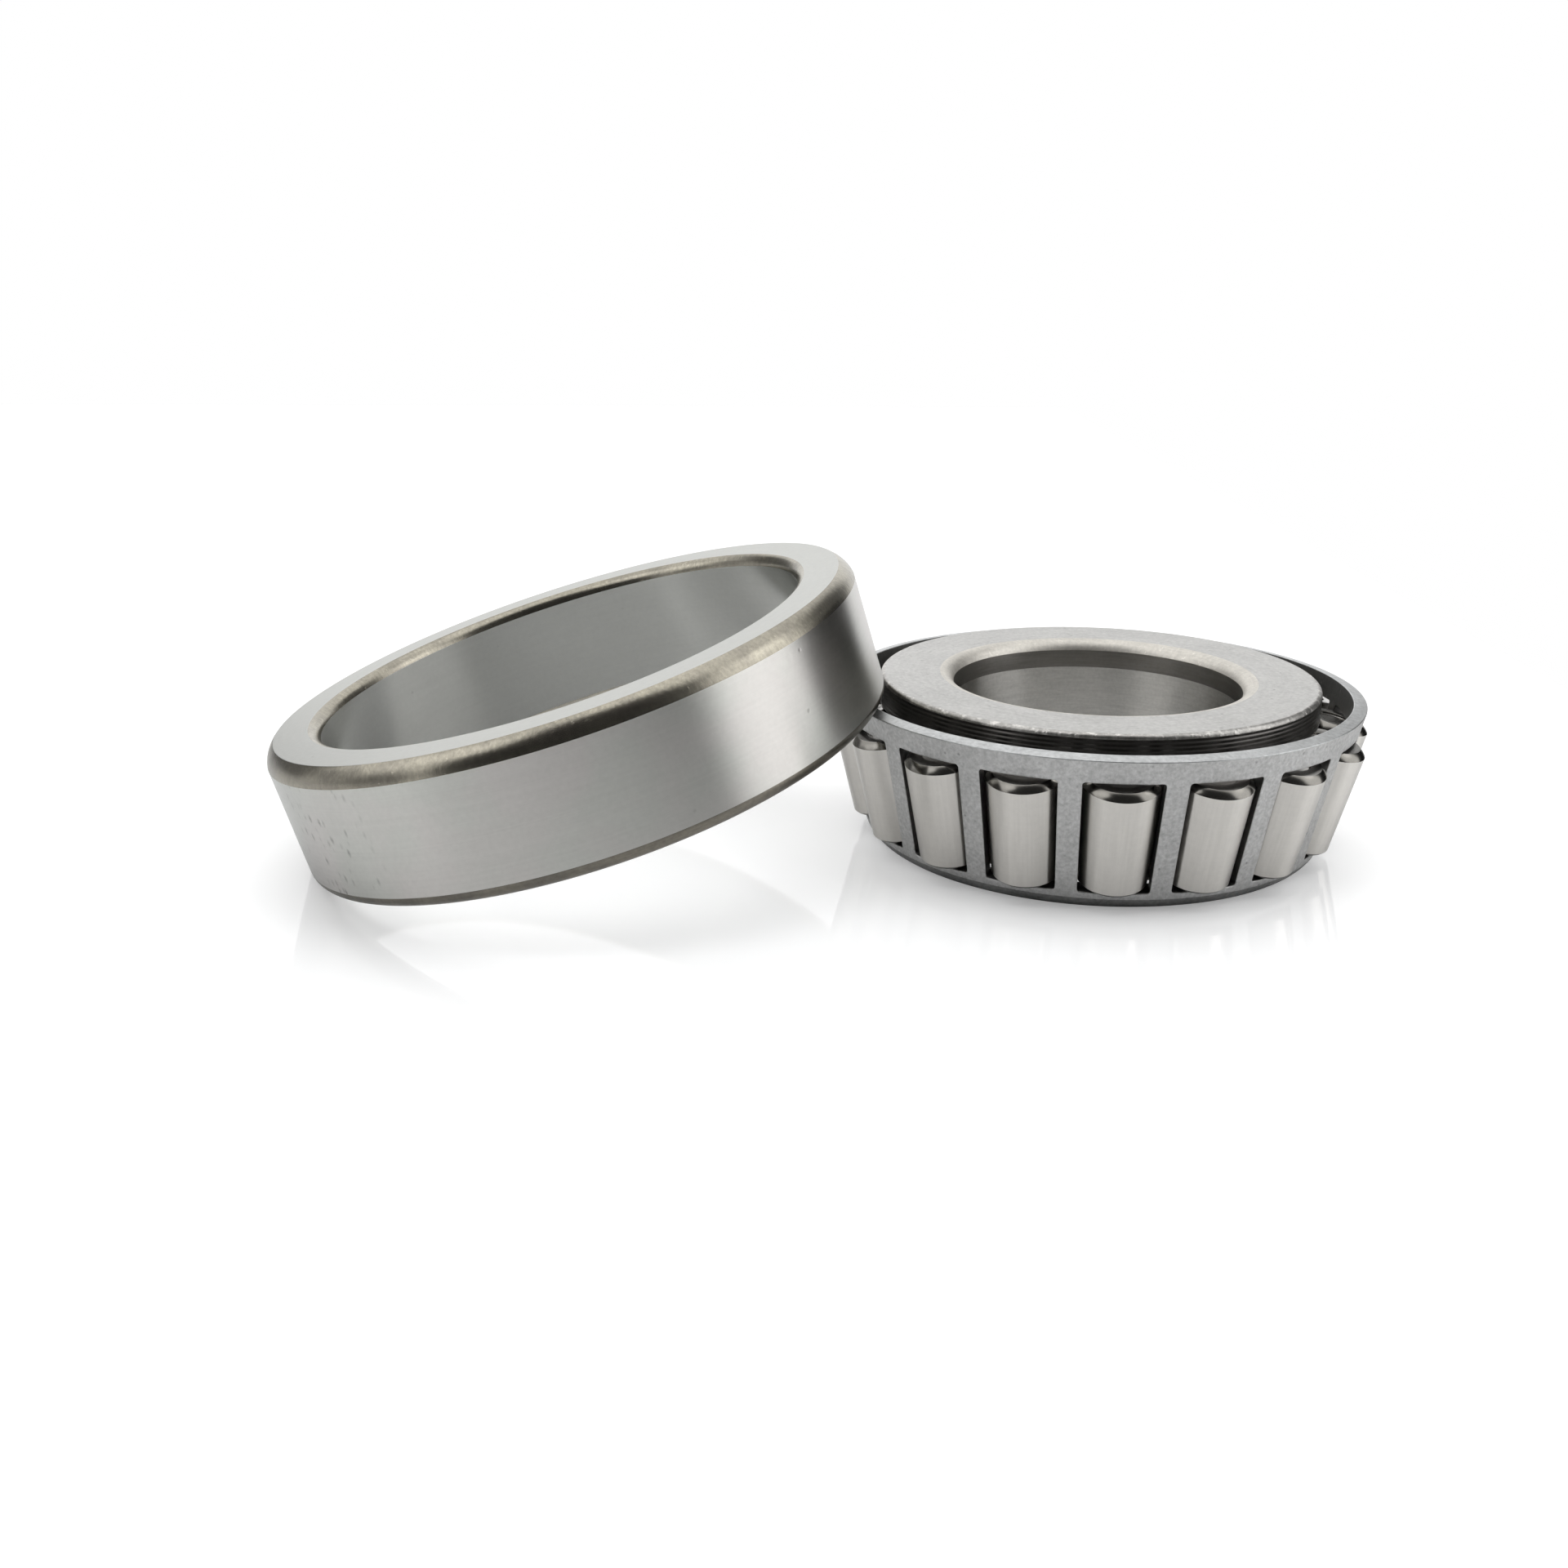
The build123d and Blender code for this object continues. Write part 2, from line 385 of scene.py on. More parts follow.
def steel(
    name, colour, roughness, anisotropy=0.5, stain=None, lines=(14, 0.22, 0.2, 0.001),
    streaks=None, specks=(0.3, 0.15, 0.0), blotches=(7, 0.15), pits=(), nicks=None,
):
    """Bare steel, with all sizes and depths in millimetres.

    lines round the axis: run, pitch, shade, depth; streaks along it: width, length, shade, depth;
    specks: size, shade, depth; blotches: size, shade; pits: a list of shade, depth and marks;
    nicks, brighter spots: size, level of the noise they start at, shade, depth.
    """
    material = bpy.data.materials.new(name)
    material.use_nodes = True
    tree = material.node_tree
    shader = tree.nodes["Principled BSDF"]
    run, pitch, line_shade, line_depth = lines
    speck_size, speck_shade, speck_depth = specks
    blotch_size, blotch_shade = blotches
    blotch = noise(tree, scaled_place(tree, blotch_size, blotch_size), 3.0, 0.5)
    layers = [
        (noise(tree, lines_round_axis(tree, run, pitch), 4.0, 0.65), line_shade, line_depth),
        (noise(tree, scaled_place(tree, speck_size, speck_size), 2.0, 0.6), speck_shade, speck_depth),
        (blotch, blotch_shade, 0.0),
    ]
    if streaks:
        width, length, streak_shade, streak_depth = streaks
        streak = noise(tree, scaled_place(tree, width, length), 3.0, 0.6)
        layers.append((streak, streak_shade, streak_depth))
    for pit_shade, pit_depth, marks in pits:
        layers.append((round_marks(tree, **marks), -pit_shade, -pit_depth))
    if nicks:
        nick_size, nick_start, nick_shade, nick_depth = nicks
        spots = noise(tree, scaled_place(tree, nick_size, nick_size), 3.0, 0.55)
        nick = stretch(tree, spots, nick_start, nick_start + NICK_RAMP, 0.0, 1.0)
        layers.append((nick, nick_shade, nick_depth))

    shade, height = 1.0, 0.0
    for layer, layer_shade, layer_depth in layers:
        shade = math(tree, "ADD", math(tree, "MULTIPLY", layer, layer_shade), shade)
        if layer_depth:
            height = math(tree, "ADD", math(tree, "MULTIPLY", layer, layer_depth), height)
    stained = stretch(tree, blotch, STAIN_START, STAIN_END, 0.0, 1.0)
    colours = mix_colour(tree, stained, colour, stain or colour)
    tinted = add_node(tree, "ShaderNodeVectorMath", {"operation": "SCALE"}, _0=colours, Scale=shade)
    tree.links.new(tinted.outputs[0], shader.inputs["Base Color"])
    shader.inputs["Metallic"].default_value = 1.0
    rough = math(tree, "ADD", math(tree, "MULTIPLY", blotch, ROUGHNESS_SPREAD), roughness)
    tree.links.new(rough, shader.inputs["Roughness"])
    if anisotropy:
        shader.inputs["Anisotropic"].default_value = anisotropy
        shader.inputs["Anisotropic Rotation"].default_value = 0.25
        tangent = add_node(tree, "ShaderNodeTangent", {"direction_type": "RADIAL", "axis": "Z"})
        tree.links.new(tangent.outputs[0], shader.inputs["Tangent"])
    bump = add_node(tree, "ShaderNodeBump", {}, Strength=1.0, Distance=MM, Height=height)
    tree.links.new(bump.outputs[0], shader.inputs["Normal"])
    return material


ground_outside = steel(
    "ground_outside", (0.54, 0.545, 0.515), 0.305, anisotropy=0.85, stain=(0.55, 0.535, 0.515),
    lines=(20, 0.3, 0.14, 0.0004), specks=(0.5, 0.12, 0.0004), blotches=(9, 0.16),
    pits=[
        # Dents on the left side: a real bump, with a darker colour that is painted shade of the dents
        (0.45, 0.06, {"spacing": 0.8, "size": 0.26, "share": 0.75, "length": 2.0, "side": -134}),
        (0.40, 0.02, {"spacing": 3.0, "size": 0.30, "share": 0.2}),
        (0.16, 0.02, {"spacing": 6.0, "size": 0.75, "share": 0.12}),
    ],
)
ground_face = steel(
    "ground_face", (0.52, 0.525, 0.50), 0.34, anisotropy=0.2,
    lines=(5, 0.35, 0.10, 0.0006), specks=(0.4, 0.14, 0.0006), blotches=(7, 0.08),
    pits=[(0.25, 0.008, {"spacing": 2.4, "size": 0.2, "share": 0.15})],
)
ring_face = steel(
    "ring_face", (0.47, 0.465, 0.45), 0.35, anisotropy=0.2,
    lines=(4, 0.4, 0.4, 0.003), specks=(0.42, 0.6, 0.006), blotches=(6, 0.35),
    pits=[
        (0.55, 0.02, {"spacing": 1.3, "size": 0.2, "share": 0.25}),
        (0.25, 0.03, {"spacing": 5.0, "size": 0.4, "share": 0.15}),
    ],
)
turned_edge = steel(
    "turned_edge", (0.39, 0.365, 0.30), 0.235, anisotropy=0.0, stain=(0.30, 0.28, 0.235),
    lines=(9, 0.3, 0.45, 0.003), streaks=(0.35, 2.5, 0.6, 0.004), specks=(0.35, 0.4, 0.004),
    blotches=(4, 0.3), nicks=(0.7, 0.17, 0.4, 0.01),
)
# The round at the bottom of the cup: a turned finish, darkened further as painted shade where the cup
# meets the table
front_edge = steel(
    "front_edge", (0.20, 0.185, 0.155), 0.32, anisotropy=0.3, stain=(0.15, 0.14, 0.12),
    lines=(6, 0.3, 0.6, 0.004), specks=(0.4, 0.5, 0.006), blotches=(4, 0.4),
)
honed_raceway = steel(
    "honed_raceway", (0.56, 0.565, 0.54), 0.36, anisotropy=1.0,
    lines=(12, 0.3, 0.10, 0.0004), specks=(0.5, 0.10, 0.0004), blotches=(6, 0.16),
    pits=[(0.25, 0.01, {"spacing": 3.0, "size": 0.22, "share": 0.14})],
)
# The grooved outside of the rib, beside the cage: its own dark finish, darkened further as painted shade
# in the gap between the rib and the cage
rib_side = steel(
    "rib_side", (0.18, 0.172, 0.165), 0.31, anisotropy=0.5,
    lines=(10, 0.3, 0.6, 0.004), specks=(0.35, 0.3, 0.003), blotches=(5, 0.2),
)
rib_edge = steel(
    "rib_edge", (0.44, 0.43, 0.41), 0.36, anisotropy=0.0,
    lines=(2, 0.35, 0.4, 0.008), specks=(0.5, 1.0, 0.03), blotches=(2.5, 0.7),
    nicks=(0.9, 0.03, 0.6, 0.02),
)
bore_wall = steel(
    "bore_wall", (0.62, 0.61, 0.585), 0.31, anisotropy=1.0,
    lines=(3, 0.3, 0.45, 0.002), specks=(0.35, 0.3, 0.0015), blotches=(5, 0.15),
)
# A band round the top of the bore, below its chamfer, coloured far darker than the bore wall under it
bore_lead = steel(
    "bore_lead", (0.26, 0.25, 0.235), 0.34, anisotropy=0.55,
    lines=(5, 0.3, 0.5, 0.003), specks=(0.35, 0.2, 0.002), blotches=(5, 0.2),
)
bore_edge = steel(
    "bore_edge", (0.66, 0.635, 0.585), 0.50, anisotropy=0.2,
    lines=(4, 0.3, 0.3, 0.003), specks=(0.4, 0.4, 0.008), blotches=(3, 0.3),
    nicks=(0.6, 0.15, 0.3, 0.008),
)
cage_sheet = steel(
    "cage_sheet", (0.53, 0.53, 0.525), 0.50, anisotropy=0.0,
    lines=(3, 0.5, 0.06, 0.0), specks=(0.36, 0.8, 0.018), blotches=(3, 0.3),
    pits=[(0.55, 0.02, {"spacing": 1.0, "size": 0.22, "share": 0.3})],
)
# The inner side of the sheet is the same steel as the outside; its much darker colour is painted shade
# inside the cage
cage_inside = steel(
    "cage_inside", (0.14, 0.14, 0.133), 0.46, anisotropy=0.0,
    lines=(3, 0.5, 0.06, 0.0), specks=(0.42, 0.6, 0.012), blotches=(4, 0.3),
    nicks=(0.5, 0.15, 0.9, 0.01),
)
cage_lip = steel(
    "cage_lip", (0.52, 0.53, 0.53), 0.40, anisotropy=0.0,
    lines=(2, 0.35, 0.4, 0.006), specks=(0.45, 0.7, 0.016), blotches=(2.5, 0.5),
)
# The bend at the foot: a darker copy of the sheet steel, as painted shade low on the cage where it meets
# the table
cage_bend = steel(
    "cage_bend", (0.27, 0.27, 0.268), 0.48, anisotropy=0.0,
    lines=(3, 0.5, 0.06, 0.0), specks=(0.36, 0.8, 0.018), blotches=(3, 0.3),
)
# The punched walls of the windows: the dark break of the cut, darkened further as painted shade inside
# the windows
cage_cut = steel(
    "cage_cut", (0.26, 0.26, 0.26), 0.45, anisotropy=0.0,
    lines=(3, 0.5, 0.1, 0.0), specks=(0.4, 0.5, 0.015), blotches=(3, 0.3),
)
roller_body = steel(
    "roller_body", (0.66, 0.64, 0.605), 0.30, anisotropy=0.7,
    lines=(6, 0.3, 0.06, 0.0003), streaks=(0.3, 8, 0.16, 0.0), specks=(0.5, 0.08, 0.0003),
    blotches=(3, 0.12),
    pits=[(0.35, 0.012, {"spacing": 3.2, "size": 0.22, "share": 0.12})],
)
roller_edge = steel(
    "roller_edge", (0.25, 0.24, 0.22), 0.20, anisotropy=0.3,
    lines=(5, 0.3, 0.25, 0.001), specks=(0.4, 0.2, 0.001), blotches=(2, 0.2),
)
roller_face = steel(
    "roller_face", (0.44, 0.43, 0.41), 0.24, anisotropy=0.2,
    lines=(3, 0.3, 0.3, 0.002), specks=(0.4, 0.2, 0.001), blotches=(3, 0.2),
)


# ---- Cup -------------------------------------------------------------------------------------

def make_cup():
    """The outer ring: its thick back face is at the top of its own frame."""
    outside, face, turned, raceway, dark = range(5)
    slope = tan(contact_angle)
    mouth_radius = cup_small_radius + 2 * cup_half * slope
    throat_foot = (cup_small_radius + cup_throat_axial * slope, cup_half - cup_throat_axial)
    outline = Outline()
    # The bottom round takes the darkest finish, partly painted shade at the table
    outline.run(outside, [(outer_radius, -cup_half)], cup_front_edge_radius, arcs=dark)
    back_edge = bulged(
        (outer_radius, cup_half - cup_back_chamfer_axial),
        (outer_radius - cup_back_chamfer_radial, cup_half), -cup_back_bulge,
    )
    outline.run(turned, back_edge[:-1])
    outline.run(face, back_edge[-1:])
    throat_top = (cup_small_radius + cup_throat_radial, cup_half)
    throat = bulged(throat_top, throat_foot, -cup_throat_bulge)
    outline.run(turned, throat[:-1])
    outline.run(raceway, throat[-1:])
    outline.run(turned, [(mouth_radius - cup_mouth_chamfer * slope, cup_mouth_chamfer - cup_half)])
    outline.run(face, [(mouth_radius + cup_mouth_chamfer, -cup_half)])
    materials = [ground_outside, ground_face, turned_edge, honed_raceway, front_edge]
    mesh = turned_mesh("cup_steel", outline, RING_COLUMNS, materials)
    axis = Vector(mounts["cup_back_face"]["axis"])
    middle = Vector(mounts["cup_back_face"]["pos_m"]) - axis * cup_half * MM
    turn = Vector((0, 0, 1)).rotation_difference(axis).to_matrix().to_4x4()
    place = Matrix.Translation(middle) @ turn
    add_piece("cup_steel", mesh, place, "cup", "cup")


# ---- Inner ring ------------------------------------------------------------------------------

def raceway_point(reach, sink=0.0):
    """Point of the inner ring's raceway at a reach along the roller axes, sunk below it."""
    angle = roller_tilt - roller_half_angle
    slant = reach / cos(roller_half_angle)
    gap = raceway_clearance + sink
    return (
        slant * sin(angle) - gap * cos(angle),
        apex + slant * cos(angle) + gap * sin(angle),
    )


def end_face_height(radius, reach):
    """Height, at a radius, of the face square to the roller axes at a reach from the apex."""
    return (reach - radius * sin(roller_tilt)) / cos(roller_tilt) + apex


def make_inner_ring():
    """Bore, back face, grooved rib, raceway and small rib."""
    face, bore, edge, nicked, rib, raceway, lead = range(7)
    rib_face = roller_reach + rib_clearance
    small_face = roller_start - small_rib_clearance
    rib_foot = end_face_height(rib_radius, rib_face)
    outline = Outline()
    outline.run(bore, [(bore_radius, ring_foot + bore_small_chamfer)])
    outline.run(lead, [(bore_radius, ring_back - bore_lead_axial)])
    top_edge = bulged(
        (bore_radius + bore_lead_radial, ring_back - bore_chamfer_axial),
        (bore_radius + bore_chamfer_radial, ring_back), bore_chamfer_bulge,
    )
    outline.run(edge, top_edge[:-1])
    outline.run(face, top_edge[-1:])
    outline.run(rib, [(rib_radius, ring_back)], rib_edge_radius, arcs=nicked)
    grooves = int((ring_back - rib_edge_radius - rib_foot) / groove_pitch)
    for groove in range(grooves):
        top = ring_back - rib_edge_radius - groove_lead - groove * groove_pitch
        outline.run(rib, [
            (rib_radius, top),
            (rib_radius - groove_depth, top - groove_step),
            (rib_radius - groove_depth, top - 2 * groove_step),
            (rib_radius, top - 3 * groove_step),
        ], corner=0)
    outline.run(rib, [(rib_radius, rib_foot)])
    outline.run(raceway, [
        raceway_point(rib_face),
        raceway_point(rib_face - undercut_width / 2, undercut_depth),
        raceway_point(rib_face - undercut_width),
        raceway_point(small_face + undercut_width),
        raceway_point(small_face + undercut_width / 2, undercut_depth),
        raceway_point(small_face),
    ], corner=0)
    outline.run(edge, [(small_rib_radius, end_face_height(small_rib_radius, small_face))])
    outline.run(edge, [(small_rib_radius, ring_foot + small_rib_chamfer)])
    outline.run(face, [(small_rib_radius - small_rib_chamfer, ring_foot)])
    outline.run(edge, [(bore_radius + bore_small_chamfer, ring_foot)])
    materials = [ring_face, bore_wall, bore_edge, rib_edge, rib_side, honed_raceway, bore_lead]
    mesh = turned_mesh("inner_ring_steel", outline, RING_COLUMNS, materials)
    add_piece("inner_ring_steel", mesh, Matrix(), "inner_ring", "inner_ring")


# ---- Cage ------------------------------------------------------------------------------------

PLACE_ROUNDS = 6

bend_centre = (
    cage_rim_radius - (cage_rim_height - bend_radius) * tan(roller_tilt) - bend_radius / cos(roller_tilt)
)


def bend_point(radius, share):
    """Point of the cage's bend, from the wall (0) round to the flange (1)."""
    angle = -roller_tilt - (pi / 2 - roller_tilt) * share
    return Vector((bend_centre + radius * cos(angle), bend_radius + radius * sin(angle)))


def wall_point(along, depth):
    """Radius and height of a point of the cage's wall: along it from the bend, and deep in it."""
    foot_radius = bend_centre + bend_radius * cos(roller_tilt)
    foot_height = bend_radius - bend_radius * sin(roller_tilt)
    return Vector((
        foot_radius + along * sin(roller_tilt) - depth * cos(roller_tilt),
        foot_height + along * cos(roller_tilt) + depth * sin(roller_tilt),
    ))


def on_wall(side, reach, depth):
    """Azimuth and distance along the wall of a window point, given sideways and by its reach.

    The distance is corrected round by round, because the wall is not square to the reach.
    """
    along = 0.0
    for _ in range(PLACE_ROUNDS):
        point = wall_point(along, depth)
        turn = asin(side / point.x)
        found = point.x * cos(turn) * sin(roller_tilt) + (point.y - apex) * cos(roller_tilt)
        along += reach - found
    return turn, along


def window_loop(offset):
    """A window's outline, grown by an offset: points (sideways, reach) that start mid-corner."""
    foot = roller_start - pocket_end_gap
    head = roller_reach + pocket_head_gap
    foot_half = foot * tan(roller_half_angle) + pocket_clearance
    head_half = head * tan(roller_half_angle) + pocket_clearance
    foot_left, foot_right = Vector((-foot_half, foot)), Vector((foot_half, foot))
    head_right, head_left = Vector((head_half, head)), Vector((-head_half, head))
    corners = [foot_left, foot_right, head_right, head_left]
    arcs = []
    for index, corner in enumerate(corners):
        arc = rounded(corners[index - 1], corner, corners[(index + 1) % 4], window_round, arc_steps)
        back = (corners[index - 1] - corner).normalized()
        on = (corners[(index + 1) % 4] - corner).normalized()
        centre = corner + (back + on).normalized() * window_round / sin(back.angle(on) / 2)
        arcs.append([centre + (p - centre) * (window_round + offset) / window_round for p in arc])
    points = []
    middle = arc_steps // 2
    for index in range(4):
        segments = across_segments if index % 2 == 0 else upright_segments
        start, end = arcs[index][-1], arcs[(index + 1) % 4][0]
        points += arcs[index][middle:-1]
        points += [start.lerp(end, step / segments) for step in range(segments)]
        points += arcs[(index + 1) % 4][:middle]
    return points


def make_cage():
    """The pressed sheet: a windowed cone with a turned-in flange, all of one thickness."""
    # The cut finish is partly, and the inside and bend finishes wholly, painted shade: on the window
    # walls, the inner side of the sheet and the foot bend
    wall, lip, cut, inside, bend = range(5)
    count = len(roller_names)
    half_pitch = pi / count
    full = (cage_rim_height - wall_point(0, 0).y) / cos(roller_tilt)
    high = full - 2 * window_edge
    across = across_segments + arc_steps
    upright = upright_segments + arc_steps
    border = [(-half_pitch + 2 * half_pitch * step / across, 0.0) for step in range(across)]
    border += [(half_pitch, high * step / upright) for step in range(upright)]
    border += [(half_pitch - 2 * half_pitch * step / across, high) for step in range(across)]
    border += [(-half_pitch, high - high * step / upright) for step in range(upright)]

    def window_row(offset, depth):
        return [on_wall(p.x, p.y, depth) for p in window_loop(offset)]

    def between(row, share):
        return [
            (a[0] + (b[0] - a[0]) * share, a[1] + (b[1] - a[1]) * share)
            for a, b in zip(border, row)
        ]

    outer_row = window_row(window_support, 0)
    inner_row = window_row(window_support, sheet)
    rows = [(border, 0), (between(outer_row, 0.5), 0), (outer_row, 0)]
    round_angles = [0, pi / 6, pi / 3, pi / 2]
    edges = [(window_edge * (1 - sin(a)), window_edge * (1 - cos(a))) for a in round_angles]
    rows += [(window_row(offset, depth), depth) for offset, depth in edges]
    rows += [(window_row(offset, sheet - depth), sheet - depth) for offset, depth in reversed(edges)]
    rows += [(inner_row, sheet), (between(inner_row, 0.5), sheet), (border, sheet)]

    vertices, faces, finishes = [], [], []
    size = len(border)
    middle = len(rows) // 2 - 1
    for pocket in range(count):
        centre = first_azimuth + 2 * half_pitch * pocket
        base = len(vertices)
        for row, depth in rows:
            for turn, along in row:
                point = wall_point(along, depth)
                vertices.append((point.x * cos(centre + turn), point.x * sin(centre + turn), point.y))
        for level in range(len(rows) - 1):
            for step in range(size):
                on = (step + 1) % size
                here, there = base + level * size, base + (level + 1) * size
                faces.append((here + step, here + on, there + on, there + step))
                finishes.append(wall if level < middle else cut if level == middle else inside)

    rim = [wall_point(high, 0)]
    top_out, top_in = wall_point(full, 0), wall_point(full, sheet)
    rim += rounded(rim[0], top_out, top_in, EDGE_ROUND)
    rim += rounded(top_out, top_in, wall_point(high, sheet), EDGE_ROUND)
    rim.append(wall_point(high, sheet))
    rim_finishes = [wall] + [lip] * (len(rim) - 3) + [inside] * 2
    shares = [step / bend_steps for step in range(bend_steps + 1)]
    foot = [bend_point(bend_radius, share) for share in shares]
    inner_bend = [bend_point(bend_radius - sheet, share) for share in reversed(shares)]
    inner_corner, outer_corner = Vector((flange_radius, sheet)), Vector((flange_radius, 0))
    foot += rounded(foot[-1], outer_corner, inner_corner, 2 * EDGE_ROUND)
    foot += rounded(outer_corner, inner_corner, inner_bend[0], EDGE_ROUND)
    foot_finishes = [wall] + [bend] * (len(foot) - 1) + [inside] * len(inner_bend)
    foot += inner_bend
    for points, kinds in ((rim, rim_finishes), (foot, foot_finishes)):
        more, more_faces, more_kinds = lathe(
            points, kinds, count * across, closed=False, first=first_azimuth - half_pitch
        )
        base = len(vertices)
        vertices += more
        faces += [tuple(base + index for index in face) for face in more_faces]
        finishes += more_kinds
    materials = [cage_sheet, cage_lip, cage_cut, cage_inside, cage_bend]
    mesh = finish_mesh("cage_sheet_steel", vertices, faces, finishes, materials)
    add_piece("cage_sheet_steel", mesh, Matrix(), "cage", "cage")


# ---- Rollers ---------------------------------------------------------------------------------

OWN_TURN = radians(77)


def make_rollers():
    """Rollers with their axis on Z and a recess in the large, upper end, each turned its own way."""
    body, edge, face = range(3)
    half = roller_length / 2
    large = (half + middle_reach - roller_large_chamfer) * tan(roller_half_angle)
    small = (roller_start + roller_small_chamfer) * tan(roller_half_angle)
    outline = Outline()
    outline.run(face, [(0, -half)], corner=0)
    small_edge = bulged(
        (small - roller_small_chamfer, -half), (small, roller_small_chamfer - half), -roller_bulge / 2
    )
    outline.run(edge, small_edge[:-1])
    outline.run(body, small_edge[-1:])
    large_edge = bulged(
        (large, half - roller_large_chamfer), (large - roller_large_chamfer, half), -roller_bulge
    )
    outline.run(edge, large_edge[:-1], corner=EDGE_ROUND / 2)
    outline.run(face, large_edge[-1:], corner=EDGE_ROUND / 2)
    outline.run(edge, [(recess_radius, half)])
    outline.run(face, [(recess_radius, half - recess_depth)])
    outline.run(face, [(0, half - recess_depth)], corner=0)
    mesh = turned_mesh("roller_steel", outline, ROLLER_COLUMNS, [roller_body, roller_edge, roller_face])
    for index, name in enumerate(roller_names):
        joint = joints[f"{name}_spin"]
        axis = Vector(joint["axis"])
        turn = Vector((0, 0, 1)).rotation_difference(axis).to_matrix().to_4x4()
        own_turn = Matrix.Rotation(index * OWN_TURN, 4, "Z")
        place = Matrix.Translation(Vector(joint["pos_m"])) @ turn @ own_turn
        add_piece(f"{name}_steel", mesh, place, name, name)


make_cup()
make_inner_ring()
make_cage()
make_rollers()


# ---- Studio ----------------------------------------------------------------------------------

BASE_LEVEL = 1.14

# Table and lamp, in metres; the size of the dust is in millimetres
TABLE_LEFT, TABLE_RIGHT = -1.0, 0.08
TABLE_FRONT, TABLE_BACK = -1.0, 0.5
TABLE_COLOUR = (0.87, 0.875, 0.88)
TABLE_IOR = 1.45
TABLE_CLEAN, TABLE_DUSTY = 0.03, 0.06
TABLE_GLOW = 0.30
TABLE_MIRROR = 0.12
DUST_SIZE = 30.0
DUST_REACH = 0.4
LAMP_HEIGHT = 0.6
LAMP_WIDTH = 0.5
LAMP_POWER = 0.8

# Camera, with its place and lens in millimetres
CAMERA_PLACE = Vector((-33.23, -165.85, 59.87))
CAMERA_TILT = radians(18.334)
CAMERA_ROLL = radians(0.154)
CAMERA_LENS = 36.88
CAMERA_SENSOR = 36.0
CAMERA_CLOSEST = 5.0

# Azimuth and elevation of each patch, the angles where it is full and where it ends, its level
STUDIO_PATCHES = (
    (90, 85, 10, 30, 1.4),
    (138, 6, 16, 26, 0.15),
    (-165, -2, 14, 24, 0.3),
    (172, 10, 8, 18, 0.5),
    (-91, 22, 46, 56, 0.045),
    (-5, 30, 20, 31, 1.55),
    (-9, -6, 14, 20, 1.7),
    (-56, 8, 20, 28, 0.06),
    (40, 22, 14, 28, 0.12),
    (33, 2, 18, 24, 0.01),
    (-3, 42, 5, 13, 2.2),
    (-155, 46, 8, 18, 1.7),
    (-177, 33, 6, 14, 1.5),
)


def make_floor():
    """A pale glossy table; seen directly, its gloss is even and it is a little overexposed."""
    mesh = bpy.data.meshes.new("table")
    corners = [
        (TABLE_LEFT, TABLE_FRONT, 0), (TABLE_RIGHT, TABLE_FRONT, 0),
        (TABLE_RIGHT, TABLE_BACK, 0), (TABLE_LEFT, TABLE_BACK, 0),
    ]
    mesh.from_pydata(corners, [], [(0, 1, 2, 3)])
    floor = bpy.data.objects.new("table", mesh)
    bpy.context.scene.collection.objects.link(floor)
    material = bpy.data.materials.new("white_table")
    material.use_nodes = True
    tree = material.node_tree
    shader = tree.nodes["Principled BSDF"]
    shader.inputs["Base Color"].default_value = (*TABLE_COLOUR, 1)
    shader.inputs["IOR"].default_value = TABLE_IOR
    dust = noise(tree, scaled_place(tree, DUST_SIZE, DUST_SIZE), 3.0)
    gloss = stretch(tree, dust, -DUST_REACH, DUST_REACH, TABLE_CLEAN, TABLE_DUSTY)
    tree.links.new(gloss, shader.inputs["Roughness"])

    def shader_node(kind, **inputs):
        return add_node(tree, kind, {}, **inputs).outputs[0]

    white = (1, 1, 1, 1)
    matt = shader_node("ShaderNodeBsdfDiffuse", Color=(*TABLE_COLOUR, 1))
    mirror = shader_node("ShaderNodeBsdfGlossy", Color=white, Roughness=gloss)
    plain = shader_node("ShaderNodeMixShader", _0=TABLE_MIRROR, _1=matt, _2=mirror)
    glow = shader_node("ShaderNodeEmission", Color=white, Strength=TABLE_GLOW)
    shown = shader_node("ShaderNodeAddShader", _0=plain, _1=glow)
    seen = add_node(tree, "ShaderNodeLightPath").outputs["Is Camera Ray"]
    both = shader_node("ShaderNodeMixShader", _0=seen, _1=shader.outputs[0], _2=shown)
    tree.links.new(both, tree.nodes["Material Output"].inputs["Surface"])
    mesh.materials.append(material)


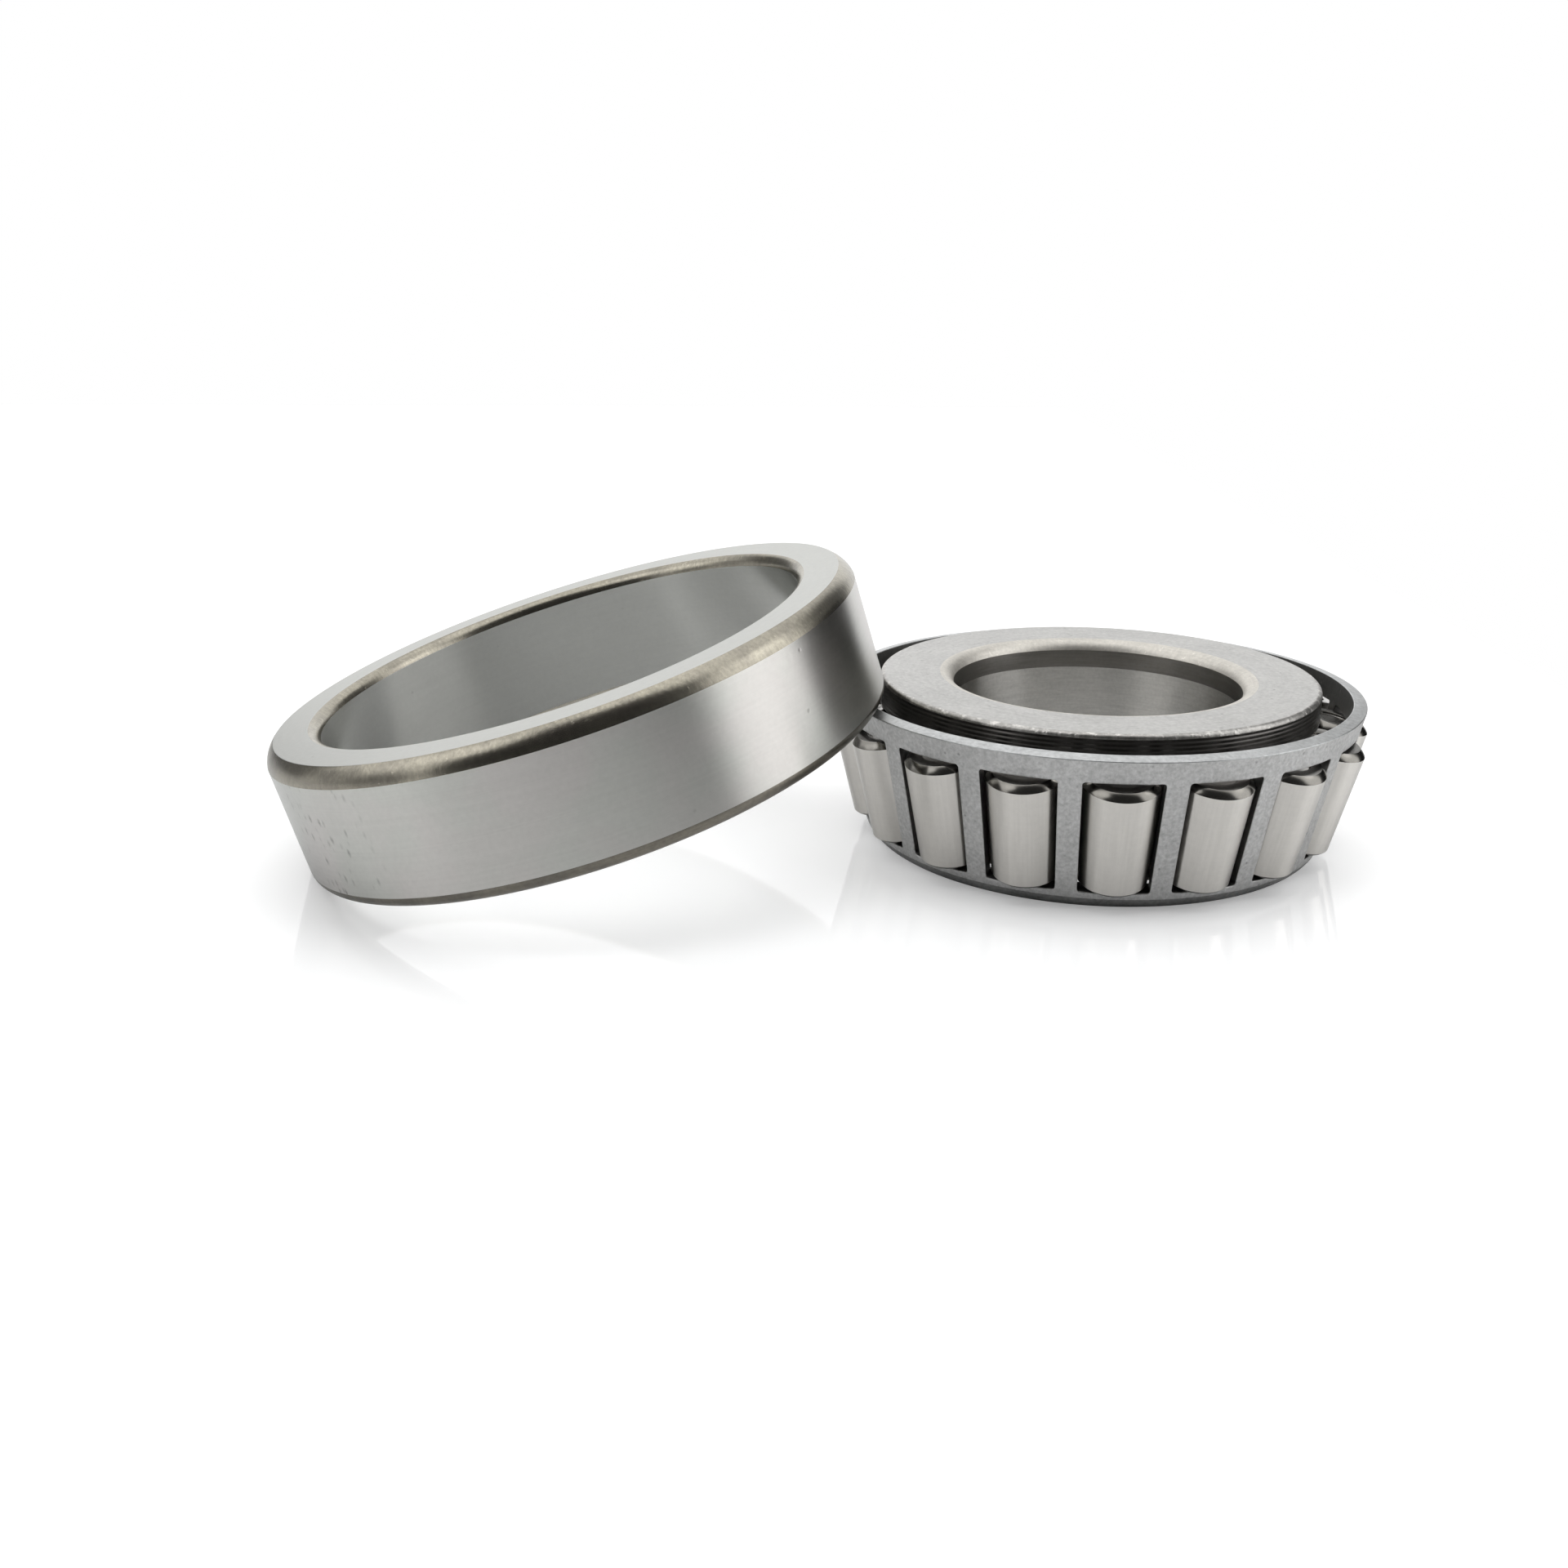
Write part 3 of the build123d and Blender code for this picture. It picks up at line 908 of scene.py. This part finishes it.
def make_world():
    """Soft studio surroundings, white where they are seen directly."""
    world = bpy.data.worlds.new("studio")
    bpy.context.scene.world = world
    world.use_nodes = True
    tree = world.node_tree
    way = add_node(tree, "ShaderNodeTexCoord").outputs["Generated"]
    level = BASE_LEVEL
    for azimuth, elevation, inner, outer, strength in STUDIO_PATCHES:
        a, e = radians(azimuth), radians(elevation)
        towards = (cos(e) * cos(a), cos(e) * sin(a), sin(e))
        facing = add_node(
            tree, "ShaderNodeVectorMath", {"operation": "DOT_PRODUCT"}, _0=way, _1=towards
        ).outputs["Value"]
        share = add_node(
            tree, "ShaderNodeMapRange", {"interpolation_type": "SMOOTHSTEP"}, _0=facing,
            _1=cos(radians(outer)), _2=cos(radians(inner)), _3=0.0, _4=1.0,
        ).outputs[0]
        mixed = add_node(tree, "ShaderNodeMix", {"data_type": "FLOAT"}, _0=share, _2=level, _3=strength)
        level = mixed.outputs[0]
    seen = add_node(tree, "ShaderNodeLightPath").outputs["Is Camera Ray"]
    shown = add_node(tree, "ShaderNodeMix", {"data_type": "FLOAT"}, _0=seen, _2=level, _3=1.0)
    tree.links.new(shown.outputs[0], tree.nodes["Background"].inputs["Strength"])
    tree.nodes["Background"].inputs["Color"].default_value = (1, 1, 1, 1)


def make_lamp():
    """A soft lamp overhead that lights the table and adds no reflection of its own."""
    data = bpy.data.lights.new("overhead", "AREA")
    data.size = LAMP_WIDTH
    data.energy = LAMP_POWER
    lamp = bpy.data.objects.new("overhead", data)
    bpy.context.scene.collection.objects.link(lamp)
    lamp.location = (0, 0, LAMP_HEIGHT)
    lamp.visible_glossy = False


def make_camera():
    """The camera, level but for its tilt down and a trace of roll."""
    data = bpy.data.cameras.new("camera")
    data.sensor_width = CAMERA_SENSOR
    data.lens = CAMERA_LENS
    data.clip_start = CAMERA_CLOSEST * MM
    camera = bpy.data.objects.new("camera", data)
    bpy.context.scene.collection.objects.link(camera)
    right = Vector((1, 0, 0))
    up = Vector((0, sin(CAMERA_TILT), cos(CAMERA_TILT)))
    back = Vector((0, -cos(CAMERA_TILT), sin(CAMERA_TILT)))
    turned_right = right * cos(CAMERA_ROLL) + up * sin(CAMERA_ROLL)
    turned_up = up * cos(CAMERA_ROLL) - right * sin(CAMERA_ROLL)
    matrix = Matrix((turned_right, turned_up, back)).transposed().to_4x4()
    matrix.translation = CAMERA_PLACE * MM
    camera.matrix_world = matrix
    bpy.context.scene.camera = camera


make_floor()
make_world()
make_lamp()
make_camera()
bpy.context.scene.view_settings.view_transform = "Standard"
